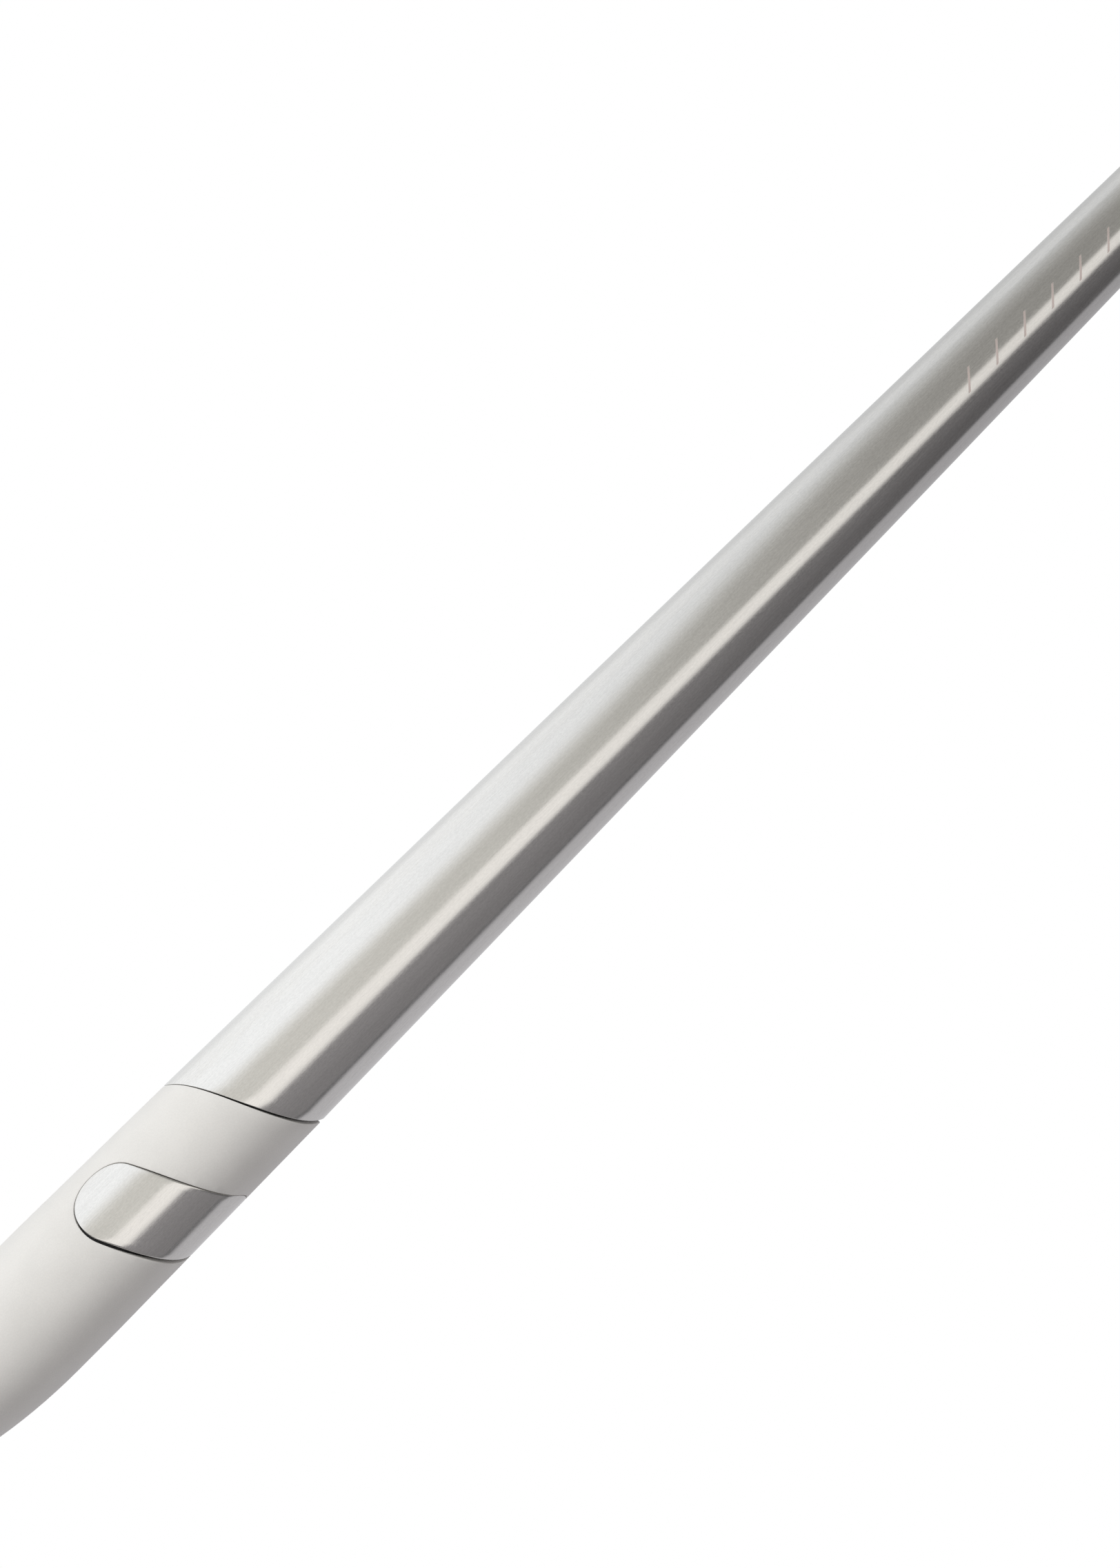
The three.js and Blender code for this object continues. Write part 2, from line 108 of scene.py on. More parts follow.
# ---- Sizes and colours that a user would change ------------------------------

def size(name, description, default):
    return FloatProperty(name=name, description=description, default=default,
                         unit="LENGTH", subtype="DISTANCE")


def angle(name, description, degrees):
    return FloatProperty(name=name, description=description, default=math.radians(degrees),
                         subtype="ANGLE")


def colour(name, description, default):
    return FloatVectorProperty(name=name, description=description, default=default,
                               subtype="COLOR", min=0, max=1)


def number(name, description, default):
    return FloatProperty(name=name, description=description, default=default)


class CaneHandleSettings(bpy.types.PropertyGroup):
    radius: size("Grip radius", "Outside radius at the seam", 13.0 * MM)
    taper: number("Taper", "Radius lost for each length of tube", 0.0188)
    swell: number("Swell", "How the taper quickens, per metre", 0.0044)
    wall: size("Tube wall", "Thickness of the handle tube's wall", 0.8 * MM)
    seam_reach: size("Seam reach", "How far the seam winds to each side", 8.3 * MM)
    far_seam_gap: size("Far seam gap", "Gap at the seam on the cane's far side", 0.12 * MM)
    near_seam_gap: size("Near seam gap", "Gap at the seam on the near side", 0.86 * MM)
    edge: size("Edge rounding", "Rounding of the tube's end edges", 0.14 * MM)
    segments: IntProperty(name="Segments", description="Faces round the head and the handle",
                          default=160)


class CaneHeadSettings(bpy.types.PropertyGroup):
    flare: size("Flare", "Radius gained from the seam to the barrel", 0.66 * MM)
    flare_end: size("Flare end", "Station where the barrel begins", -47.5 * MM)
    near_end: size("Near side's end", "Station where the near side starts to sweep in", -58 * MM)
    far_end: size("Far side's end", "Station where the far side starts to round off", -80 * MM)
    apex: size("Apex", "Station of the beak's end", -HEAD_REACH)
    apex_side: size("Apex side", "How far the beak's end sits off the axis", 4 * MM)
    wall: size("Casing wall", "Thickness of the head's casing", 1.6 * MM)
    cavity_end: size("Cavity end", "Station where the hollow ends", -88 * MM)
    eyelet_station: size("Eyelet station", "Station of the strap hole", -96.5 * MM)
    eyelet_side: size("Eyelet side", "How far the strap hole sits off the axis", 3 * MM)


class CaneButtonSettings(bpy.types.PropertyGroup):
    station: size("Station", "Station of the button's middle line at the top", -28.4 * MM)
    slant: angle("Slant", "How steeply the button winds round the head", 24.9)
    half_width: size("Half width", "Radius of the button's round ends", 7.8 * MM)
    pitch_radius: size("Pitch radius", "Radius at which the outline is laid out", 13.35 * MM)
    first_cap: angle("First end", "Angle of the first round end's centre", -19)
    last_cap: angle("Last end", "Angle of the last round end's centre", 79)
    gap: size("Gap", "Gap between the button and the casing", 0.17 * MM)
    gap_growth: size("Gap growth", "Gap gained along the side towards the beak", 0.46 * MM)
    gap_pinch: size("Gap pinch", "Gap lost along the side towards the tube", 0.07 * MM)
    edge: size("Edge rounding", "Rounding of the button's rim", 0.4 * MM)
    first_edge: size("First edge rounding", "Rounding of the rim at its first end", 0.12 * MM)
    casing_edge: size("Casing edge", "Rounding of the casing's rim round the button", 0.12 * MM)
    underside: size("Underside", "Radius of the button's inner face", 12.1 * MM)


class CaneFinishSettings(bpy.types.PropertyGroup):
    aluminium: colour("Aluminium", "Brushed tube and button", (0.63, 0.62, 0.605))
    casing: colour("Casing", "White plastic of the head", (0.80, 0.788, 0.768))
    sleeve: colour("Sleeve", "White reflective film of the shaft", (0.86, 0.86, 0.85))
    lowest_sleeve: colour("Lowest sleeve", "Red film of the lowest section", (0.50, 0.022, 0.03))
    roller: colour("Roller", "Nylon of the rolling tip", (0.80, 0.79, 0.75))
    trim: colour("Trim", "Dark nylon of the bushes and the socket", (0.035, 0.036, 0.04))


class CaneStudioSettings(bpy.types.PropertyGroup):
    frame_height: size("Frame height", "Height of the picture at the cane", 300 * MM)
    distance: size("Camera distance", "From the camera to the cane", 1.67)
    aim: size("Aim", "Station at the middle of the picture", 86 * MM)
    side: size("Side", "How far the picture's middle sits off the axis", 0.36 * MM)
    roll: angle("Roll", "How steeply the cane rises in the picture", 45.0)
    tent_radius: size("Tent radius", "Radius of the light tent over the cane", 0.45)
    ambient: number("Ambient", "Even light on matt surfaces", 0.4)
    key: number("Key", "Strength of the soft key light on matt surfaces", 1.84)
    key_angle: angle("Key angle", "Angle round the cane that the key light comes from", -46)


def settings(group):
    return getattr(bpy.context.scene, "cane_" + group)


# ---- The shapes that the sizes describe --------------------------------------

def mix(a, b, t):
    return a + (b - a) * t


def smooth(t):
    t = min(1.0, max(0.0, t))
    return t * t * (3 - 2 * t)


def quarter_round(t):
    return math.sqrt(max(0.0, 1 - t * t))


def tube_radius(s):
    handle = settings("handle")
    return handle.radius - handle.taper * s - handle.swell * s * s


def head_radius(s):
    head = settings("head")
    return settings("handle").radius + head.flare * min(1.0, s / head.flare_end)


def head_section(s):
    """Centre and radius of the head's section: a barrel, whose near side sweeps in to the beak."""
    head = settings("head")
    widest = settings("handle").radius + head.flare
    far, near = head_radius(s), -head_radius(s)
    if s < head.far_end:
        along = (s - head.far_end) / (head.apex - head.far_end)
        far = head.apex_side + (widest - head.apex_side) * quarter_round(along)
    if s < head.near_end:
        along = (s - head.near_end) / (head.apex - head.near_end)
        near = head.apex_side - (widest + head.apex_side) * quarter_round(along)
    return (far + near) / 2, (far - near) / 2


def seam(phi):
    """How far along the cane the seam lies at an angle: two nearly straight runs and two bends."""
    sharpness = 0.985
    reach = settings("handle").seam_reach
    return reach * math.asin(sharpness * math.sin(phi)) / math.asin(sharpness)


def seam_half_gap(phi):
    handle = settings("handle")
    lateness = 1.5
    widening = ((1 + math.sin(phi)) / 2) ** lateness
    return mix(handle.far_seam_gap, handle.near_seam_gap, widening) / 2


def button_outline(phi, side, grow):
    """Station of the button's edge at an angle, towards the beak (-1) or towards the tube (1)."""
    button = settings("button")
    radius = button.half_width + grow
    first, last = (cap * button.pitch_radius for cap in (button.first_cap, button.last_cap))
    u = phi * button.pitch_radius
    nearest = min(last, max(first, u + side * radius * math.sin(button.slant)))
    across = math.sqrt(max(0.0, radius ** 2 - (u - nearest) ** 2))
    return button.station + nearest * math.tan(button.slant) + side * across


def button_span(grow):
    """The angles between which the button lies, drawn in a hair so that its ends stay open."""
    button = settings("button")
    hair = 0.01 * MM
    turn = (button.half_width + grow - hair) / button.pitch_radius
    return button.first_cap - turn, button.last_cap + turn


def around(s, phi, r):
    """A point at a station, an angle and a distance from the cane's axis."""
    return Vector((SEAM_X + s, -r * math.sin(phi), AXIS_Z + r * math.cos(phi)))


def polar(point):
    """A point's station, angle and distance from the cane's axis."""
    y, z = point.y, point.z - AXIS_Z
    return point.x - SEAM_X, math.atan2(-y, z), math.hypot(y, z)


# ---- Modelling helpers -------------------------------------------------------

def fresh():
    """Leaves edit mode and selects nothing."""
    if bpy.context.object and bpy.context.object.mode != "OBJECT":
        bpy.ops.object.mode_set(mode="OBJECT")
    bpy.ops.object.select_all(action="DESELECT")


def named(name):
    """Names the new piece and lets its mesh carry its place."""
    piece = bpy.context.object
    piece.name = piece.data.name = name
    bpy.ops.object.transform_apply(location=True, rotation=True, scale=True)
    return piece


def pick(piece):
    """Selects a piece alone."""
    fresh()
    bpy.context.view_layer.objects.active = piece
    piece.select_set(True)


def edit(piece):
    pick(piece)
    bpy.ops.object.mode_set(mode="EDIT")
    bpy.ops.mesh.select_mode(type="EDGE")


def turned(name, profile, segments=96, closed=True):
    """Turns a profile about the cane's axis: a circle, drawn out from one place to the next.

    A place is a station and a radius. A closed profile is a ring or a tube, and an open one has its
    two ends filled.
    """
    fresh()
    start, radius = profile[0]
    bpy.ops.mesh.primitive_circle_add(vertices=segments, radius=radius, fill_type="NOTHING",
                                      location=(SEAM_X + start, 0, AXIS_Z), rotation=ALONG_X)
    piece = named(name)
    edit(piece)
    bpy.ops.mesh.select_all(action="SELECT")
    for (here, old), (there, new) in zip(profile, profile[1:]):
        bpy.ops.mesh.extrude_region_move(TRANSFORM_OT_translate={"value": (there - here, 0, 0)})
        bpy.ops.transform.resize(value=(1, new / old, new / old),
                                 center_override=(SEAM_X + there, 0, AXIS_Z))
    bpy.ops.mesh.select_all(action="DESELECT")
    bpy.ops.mesh.select_non_manifold()
    if closed:
        bpy.ops.mesh.bridge_edge_loops()
    else:
        bpy.ops.mesh.fill_holes(sides=0)
    face_outwards()
    return piece


def face_outwards():
    """Turns all faces outwards and ends the editing."""
    bpy.ops.mesh.select_all(action="SELECT")
    bpy.ops.mesh.normals_make_consistent(inside=False)
    bpy.ops.object.mode_set(mode="OBJECT")


def post(name, radius, low, high, phi, station, side=0.0, segments=48):
    """A post that stands out at a station and an angle, from the axis or from one side of it."""
    fresh()
    middle = around(station, phi, (low + high) / 2) + Vector((0, side, 0))
    bpy.ops.mesh.primitive_cylinder_add(vertices=segments, radius=radius, depth=high - low,
                                        location=middle, rotation=(phi, 0, 0))
    return named(name)


def reshape(piece, move):
    """Moves each vertex to where a rule puts it."""
    for vertex in piece.data.vertices:
        vertex.co = move(vertex.co)
    piece.data.update()


def soften(piece, width, sharper_than=35, segments=3, choose=None):
    """Rounds the edges that are sharper than an angle, or only those whose middle passes a test."""
    edit(piece)
    bpy.ops.mesh.select_all(action="DESELECT")
    bpy.ops.mesh.edges_select_sharp(sharpness=math.radians(sharper_than))
    if choose:
        mesh = bmesh.from_edit_mesh(piece.data)
        for edge in mesh.edges:
            if edge.select and not choose((edge.verts[0].co + edge.verts[1].co) / 2):
                edge.select = False
        mesh.select_flush_mode()
        bmesh.update_edit_mesh(piece.data)
    bpy.ops.mesh.bevel(offset=width, offset_type="OFFSET", segments=segments, profile=0.5,
                       affect="EDGES")
    bpy.ops.object.mode_set(mode="OBJECT")


def cut(piece, tool):
    """Cuts a piece with a tool and throws the tool away."""
    pick(piece)
    bpy.ops.object.modifier_add(type="BOOLEAN")
    modifier = piece.modifiers[-1]
    modifier.operation = "DIFFERENCE"
    modifier.solver = "EXACT"
    modifier.object = tool
    bpy.ops.object.modifier_apply(modifier=modifier.name)
    bpy.data.objects.remove(tool)


def complete(piece, body, material, stands_for):
    """Smooths a piece, gives it its finish, and lets it stand for a node of the frame."""
    pick(piece)
    bpy.ops.object.shade_smooth_by_angle(angle=math.radians(38))
    piece.data.materials.clear()
    piece.data.materials.append(material)
    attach(piece, body)
    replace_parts(piece, stands_for)


# ---- Shader maths ------------------------------------------------------------

class Shade:
    """One output socket, on which Python's own operators add Math nodes."""

    def __init__(self, tree, socket):
        self.tree = tree
        self.socket = socket

    def maths(self, operation, *values):
        return make(self.tree, "ShaderNodeMath", {"operation": operation}, dict(enumerate(values)))

    def __add__(self, other):
        return self.maths("ADD", self, other)

    def __sub__(self, other):
        return self.maths("SUBTRACT", self, other)

    def __rsub__(self, other):
        return self.maths("SUBTRACT", other, self)

    def __mul__(self, other):
        return self.maths("MULTIPLY", self, other)

    def __truediv__(self, other):
        return self.maths("DIVIDE", self, other)

    def __neg__(self):
        return self.maths("MULTIPLY", self, -1.0)

    def __abs__(self):
        return self.maths("ABSOLUTE", self)

    __radd__ = __add__
    __rmul__ = __mul__

    def step(self, start, end, low=0.0, high=1.0):
        """Goes smoothly from one value to another as this one goes from start to end."""
        return make(self.tree, "ShaderNodeMapRange", {"interpolation_type": "SMOOTHSTEP"}, {
            "Value": self, "From Min": start, "From Max": end, "To Min": low, "To Max": high})

    def blend(self, low, high):
        """Mixes two colours by this factor."""
        return make(self.tree, "ShaderNodeMix", {"data_type": "RGBA"},
                    {"Factor": self, 6: rgba(low), 7: rgba(high)}, 2)


def rgba(value):
    return value if isinstance(value, Shade) else (*tuple(value)[:3], 1.0)


def make(tree, kind, options=None, inputs=None, output=0):
    """Adds a node: its settings first, then the values or links of its sockets."""
    node = tree.nodes.new(kind)
    for name, value in (options or {}).items():
        setattr(node, name, value)
    for name, value in (inputs or {}).items():
        if isinstance(value, Shade):
            tree.links.new(value.socket, node.inputs[name])
        else:
            node.inputs[name].default_value = value
    return Shade(tree, node.outputs[output]) if output is not None else None


def split(tree, vector):
    """A vector's three numbers."""
    node = make(tree, "ShaderNodeSeparateXYZ", None, {0: vector}).socket.node
    return tuple(Shade(tree, node.outputs[i]) for i in range(3))


class Recipe:
    """A material being written: its place on the piece, and the shader that its values feed."""

    def __init__(self, name, **constants):
        self.material = bpy.data.materials.new(name)
        self.material.use_nodes = True
        self.tree = self.material.node_tree
        self.tree.nodes.clear()
        self.place = make(self.tree, "ShaderNodeTexCoord", output=3)
        self.constants = constants

    def parts(self):
        """Station, side and height of a point, measured from the seam and the cane's axis."""
        centred = make(self.tree, "ShaderNodeVectorMath", {"operation": "SUBTRACT"},
                       {0: self.place, 1: (SEAM_X, 0.0, AXIS_Z)})
        return split(self.tree, centred)

    def grains(self, grain):
        """The place, counted in grains of a given length, width and height."""
        return make(self.tree, "ShaderNodeVectorMath", {"operation": "DIVIDE"},
                    {0: self.place, 1: grain})

    def noise(self, grain, detail=2.0):
        return make(self.tree, "ShaderNodeTexNoise", None,
                    {"Vector": self.grains(grain), "Scale": 1.0, "Detail": detail})

    def cells(self, grain):
        return make(self.tree, "ShaderNodeTexVoronoi", None,
                    {"Vector": self.grains((grain,) * 3), "Scale": 1.0})

    def finish(self, colour, roughness, height, depth):
        bump = make(self.tree, "ShaderNodeBump", None,
                    {"Height": height, "Distance": depth, "Strength": 1.0})
        shader = make(self.tree, "ShaderNodeBsdfPrincipled", None, {
            "Base Color": colour, "Roughness": roughness, "Normal": bump, **self.constants})
        make(self.tree, "ShaderNodeOutputMaterial", None, {"Surface": shader}, None)
        return self.material


def once(build):
    """Keeps a finish, so that pieces of the same stuff share one material."""
    kept = {}

    def finish(*choice):
        if choice not in kept:
            kept[choice] = build(*choice)
        return kept[choice]
    return finish


def brushed(recipe):
    """Colour, roughness and height of metal with a satin grain and fine scratches along it."""
    tone = Vector(settings("finish").aluminium)
    fine = recipe.noise((7 * MM, 0.2 * MM, 0.2 * MM), detail=3.0)
    broad = recipe.noise((26 * MM, 0.8 * MM, 0.8 * MM), detail=2.0)
    satin = recipe.noise((0.6 * MM, 0.3 * MM, 0.3 * MM), detail=3.0)
    cloud = recipe.noise((50 * MM, 9 * MM, 9 * MM), detail=1.0)
    grain = fine * 0.35 + broad * 0.15 + satin * 0.5
    colour = grain.step(0.32, 0.68).blend(tone * 0.93, tone * 1.05)
    return colour, grain.step(0.25, 0.75, 0.12, 0.2) + cloud.step(0.3, 0.7, -0.01, 0.02), grain


@once
def brushed_aluminium():
    recipe = Recipe("brushed aluminium", Metallic=1.0)
    return recipe.finish(*brushed(recipe), 0.005 * MM)


@once
def etched_aluminium():
    """The handle tube: brushed metal with a row of plain etched dashes as a grip gauge."""
    recipe = Recipe("etched brushed aluminium", Metallic=1.0)
    station, side, height = recipe.parts()
    phi = angle_round(side, height)
    pitch, count, first, lean = 7.6 * MM, 7, 192 * MM, -8.0 * MM
    half_line, line_edge, row_edge = 0.03, 0.015, 0.02      # in pitches
    row = (station - first - phi * lean) / pitch
    line = abs(row.maths("FRACT", row) - 0.5).step(half_line, half_line + line_edge, 1.0, 0.0)
    inside = row.step(-row_edge, 0.0) * row.step(count, count + row_edge, 1.0, 0.0)
    middle, reach, band_edge = math.radians(2), math.radians(11), 0.03      # round the tube
    band = abs(phi - middle).step(reach, reach + band_edge, 1.0, 0.0)
    etched = line * inside * band
    metal, roughness, grain = brushed(recipe)
    colour = (etched * 0.9).blend(metal, (0.7, 0.61, 0.59))
    return recipe.finish(colour, roughness + etched * 0.35, grain - etched * 1.5, 0.005 * MM)


def angle_round(side, height):
    """The angle round the cane, from +Z through -Y."""
    return side.maths("ARCTAN2", -side, height)


@once
def satin_aluminium():
    """Turned rings and collars, whose tool marks run round them."""
    tone = Vector(settings("finish").aluminium)
    recipe = Recipe("satin turned aluminium", Metallic=1.0)
    marks = recipe.noise((0.12 * MM, 12 * MM, 12 * MM), detail=2.0)
    colour = marks.step(0.3, 0.7).blend(tone * 0.9, tone * 1.06)
    return recipe.finish(colour, marks.step(0.3, 0.7, 0.24, 0.34), marks, 0.008 * MM)


@once
def white_casing():
    tone = Vector(settings("finish").casing)
    recipe = Recipe("satin white plastic", **{
        "Specular IOR Level": 0.45,
        "Subsurface Weight": 0.06, "Subsurface Radius": (0.6 * MM,) * 3})
    fine = recipe.noise((0.3 * MM,) * 3, detail=3.0)
    cloud = recipe.noise((7 * MM,) * 3, detail=2.0)
    colour = (fine * 0.6 + cloud * 0.4).step(0.3, 0.7).blend(tone * 0.965, tone * 1.03)
    return recipe.finish(colour, fine.step(0.3, 0.7, 0.38, 0.46) + cloud * 0.03, fine, 0.012 * MM)


@once
def reflective_sleeve(which):
    """Reflective film: a fine field of beads under a clear face, scuffed here and there."""
    tone = Vector(getattr(settings("finish"), which))
    recipe = Recipe(which.replace("_", " ") + " reflective film", **{
        "Specular IOR Level": 0.6, "Coat Weight": 0.4, "Coat Roughness": 0.12})
    beads = recipe.cells(0.35 * MM)
    cloud = recipe.noise((30 * MM, 5 * MM, 5 * MM), detail=2.0)
    scuff = recipe.noise((3 * MM, 0.3 * MM, 0.3 * MM), detail=4.0).step(0.66, 0.72)
    flecked = beads.step(0.1, 0.55).blend(tone * 1.08, tone * 0.9)
    colour = (scuff * 0.5).blend(flecked, tone * 0.72)
    roughness = beads.step(0.1, 0.55, 0.26, 0.38) + scuff * 0.2 + cloud * 0.04
    return recipe.finish(colour, roughness, beads, 0.015 * MM)


@once
def turned_nylon():
    """The roller and its cap: pale nylon, turned, a little scuffed where it rolls."""
    tone = Vector(settings("finish").roller)
    recipe = Recipe("turned nylon", **{
        "Subsurface Weight": 0.1, "Subsurface Radius": (1 * MM, 1 * MM, 0.9 * MM)})
    side, height = recipe.parts()[1:]
    out = side.maths("SQRT", side * side + height * height)
    crown = out.step(12.6 * MM, 13.6 * MM)
    marks = recipe.noise((0.14 * MM, 9 * MM, 9 * MM), detail=2.0)
    wear = recipe.noise((2.5 * MM, 5 * MM, 5 * MM), detail=2.0).step(0.4, 0.65)
    scratch = recipe.noise((0.5 * MM, 2.2 * MM, 2.2 * MM), detail=4.0).step(0.5, 0.66)
    dirt = scratch * wear * crown
    colour = (dirt * 0.3).blend(marks.step(0.3, 0.7).blend(tone * 0.96, tone), (0.36, 0.34, 0.31))
    roughness = marks.step(0.3, 0.7, 0.42, 0.52) + dirt * 0.2
    return recipe.finish(colour, roughness, marks - dirt * 0.5, 0.02 * MM)


@once
def moulded_nylon():
    tone = Vector(settings("finish").trim)
    recipe = Recipe("moulded dark nylon", **{"Specular IOR Level": 0.4})
    grain = recipe.noise((0.3 * MM,) * 3, detail=3.0)
    cloud = recipe.noise((6 * MM,) * 3, detail=2.0)
    colour = cloud.step(0.3, 0.7).blend(tone * 0.85, tone * 1.3)
    return recipe.finish(colour, grain.step(0.3, 0.7, 0.45, 0.6), grain, 0.03 * MM)


@once
def soft_rubber():
    recipe = Recipe("moulded rubber", **{"Specular IOR Level": 0.3})
    grain = recipe.noise((0.25 * MM,) * 3, detail=4.0)
    colour = grain.step(0.3, 0.7).blend((0.016, 0.016, 0.017), (0.03, 0.03, 0.031))
    return recipe.finish(colour, grain.step(0.3, 0.7, 0.68, 0.85), grain, 0.04 * MM)


@once
def machined_steel():
    recipe = Recipe("machined steel", Metallic=1.0)
    marks = recipe.noise((0.1 * MM, 4 * MM, 4 * MM), detail=3.0)
    colour = marks.step(0.3, 0.7).blend((0.47, 0.47, 0.49), (0.6, 0.6, 0.61))
    return recipe.finish(colour, marks.step(0.3, 0.7, 0.2, 0.32), marks, 0.006 * MM)


@once
def plated_contact():
    recipe = Recipe("plated contact", Metallic=1.0)
    haze = recipe.noise((0.5 * MM,) * 3, detail=3.0)
    colour = haze.step(0.3, 0.7).blend((0.66, 0.47, 0.2), (0.82, 0.62, 0.3))
    return recipe.finish(colour, haze.step(0.3, 0.7, 0.18, 0.32), haze, 0.004 * MM)


@once
def solder_mask():
    recipe = Recipe("solder mask", **{"Coat Weight": 0.3, "Coat Roughness": 0.2})
    weave = recipe.cells(0.8 * MM)
    colour = weave.step(0.2, 0.6).blend((0.012, 0.11, 0.045), (0.02, 0.17, 0.07))
    return recipe.finish(colour, weave.step(0.2, 0.6, 0.3, 0.45), weave, 0.02 * MM)


@once
def cell_wrap():
    recipe = Recipe("battery wrap", **{"Specular IOR Level": 0.55})
    crinkle = recipe.noise((6 * MM, 1.2 * MM, 1.2 * MM), detail=3.0)
    colour = crinkle.step(0.3, 0.7).blend((0.03, 0.08, 0.24), (0.05, 0.12, 0.34))
    return recipe.finish(colour, crinkle.step(0.3, 0.7, 0.24, 0.4), crinkle, 0.05 * MM)


# ---- The head ----------------------------------------------------------------

def head_profile():
    """Stations and radii of the head's outside, from the beak to the seam."""
    head = settings("head")
    beak_rings, barrel_rings = 26, 30
    beak = [mix(head.near_end, head.apex, math.sin(math.pi / 2 * (1 - i / beak_rings)))
            for i in range(beak_rings)]
    beak[0] = head.apex + 0.004 * MM    # a ring, not a point, so that it can be filled
    barrel = [mix(head.near_end, 0.0, i / barrel_rings) for i in range(barrel_rings + 1)]
    return [(s, head_section(s)[1]) for s in beak + barrel]


def follow_beak(point):
    """A rule that moves the head's sections onto the beak's swept line."""
    s = point.x - SEAM_X
    return point + Vector((0, head_section(s)[0], 0))


def follow_seam(side, reach):
    """A rule that draws one end of a piece out to the seam, less its share of the gap."""
    def move(point):
        s, phi, r = polar(point)
        pull = smooth(1 - abs(s) / reach) if abs(s) < reach else 0.0
        there = s + pull * (seam(phi) + side * seam_half_gap(phi))
        form = head_radius if side < 0 else tube_radius
        return around(there, phi, r + form(there) - form(s)) if pull else point
    return move


def button_block(name, columns, rows, levels):
    """A block wrapped slantwise round the head, to the button's outline.

    A level is a pair of rules: how far the outline grows at an angle and on a side, and the radius
    at a station. The block is drawn up from one level to the next.
    """
    fresh()
    bpy.ops.mesh.primitive_grid_add(x_subdivisions=columns, y_subdivisions=rows, size=2)
    piece = named(name)
    edit(piece)
    bpy.ops.mesh.select_all(action="SELECT")
    for _ in levels[1:]:
        bpy.ops.mesh.extrude_region_move(TRANSFORM_OT_translate={"value": (0, 0, 1)})
    face_outwards()

    def wrap(point):
        grow, radius = levels[round(point.z)]
        ends = [button_span(grow(button_span(0.0)[i], 0))[i] for i in (0, 1)]
        phi = mix(*ends, 0.5 + 0.5 * math.sin(point.x * math.pi / 2))
        low, high = (button_outline(phi, side, grow(phi, side)) for side in (-1, 1))
        s = mix(low, high, (point.y + 1) / 2)
        return around(s, phi, radius(s, phi))
    reshape(piece, wrap)
    edit(piece)
    face_outwards()
    return piece


def rim_levels(bottom, edge, flares, grow):
    """Levels of a rounded rim: straight up from the bottom, then round an edge to the surface.

    The rim of an opening flares out, and a plate's draws in.
    """
    levels = [(grow, lambda s, phi: bottom)]
    for turn in map(math.radians, (0, 30, 60, 88)):
        spread = (1 - math.cos(turn)) * (1 if flares else -1)
        sink = 1 - math.sin(turn)
        levels.append((
            lambda phi, side, spread=spread: grow(phi, side) + spread * edge(phi),
            lambda s, phi, sink=sink: head_radius(s) - sink * edge(phi),
        ))
    return levels


def plate_edge(phi):
    """Rounding of the button's rim: crisp at its first end, fuller as it winds on."""
    button = settings("button")
    start, length = -45, 50             # degrees round the head
    return mix(button.first_edge, button.edge, smooth((math.degrees(phi) - start) / length))


def opening_gap(extra):
    """The gap round the button: even at its ends, and between them wide towards the beak and fine
    towards the tube.
    """
    button = settings("button")
    first, rise, fall, last = -45, 60, 28, 110      # degrees round the head

    def grow(phi, side):
        turn = math.degrees(phi)
        between_ends = smooth((turn - first) / rise) * smooth((last - turn) / fall)
        change = {-1: button.gap_growth, 0: 0.0, 1: -button.gap_pinch}[side]
        return button.gap + change * between_ends + extra
    return grow


class CANE_OT_head_shell(bpy.types.Operator):
    """The white casing, with its beak, the button's opening and the holes for its fittings"""
    bl_idname = "cane.head_shell"
    bl_label = "Head shell"

    def execute(self, context):
        handle, head, button = settings("handle"), settings("head"), settings("button")
        outside = head_profile()
        hollow = [(s, r - head.wall) for s, r in reversed(outside) if s > head.cavity_end]
        shell = turned("white_head_shell", outside + hollow, handle.segments, closed=False)
        reshape(shell, follow_beak)
        reshape(shell, follow_seam(-1, 14 * MM))
        soften(shell, handle.edge, 60, choose=lambda p: p.x > SEAM_X - 9 * MM)
        deep, through, edge = 9 * MM, 20 * MM, button.casing_edge
        flared = opening_gap(edge * 1.25)
        rim = rim_levels(deep, lambda phi: edge, True, opening_gap(0.0))[:-1]
        rim.append((flared, lambda s, phi: head_radius(s) + edge * 0.25))
        rim.append((flared, lambda s, phi: head_radius(s) + 1.5 * MM))
        cut(shell, button_block("opening", 110, 10, rim))
        cut(shell, post("eyelet_hole", half_width("strap_eyelet"), -through, through, 0,
                        head.eyelet_station, head.eyelet_side, 64))
        for number in (1, 2):
            station = sum(frame_stations(f"charge_contact_{number}")) / 2
            cut(shell, post("contact_hole", 2.0 * MM, deep, 16 * MM, FAR_SIDE, station))
        complete(shell, "handle", white_casing(), "head_shell")
        return {"FINISHED"}


class CANE_OT_thumb_button(bpy.types.Operator):
    """The brushed plate that winds round the head, with a rounded rim"""
    bl_idname = "cane.thumb_button"
    bl_label = "Thumb button"

    def execute(self, context):
        button = settings("button")
        levels = rim_levels(button.underside, plate_edge, False, lambda phi, side: 0.0)
        plate = button_block("brushed_thumb_button", 110, 14, levels)
        complete(plate, "thumb_button", brushed_aluminium(), "thumb_button")
        return {"FINISHED"}


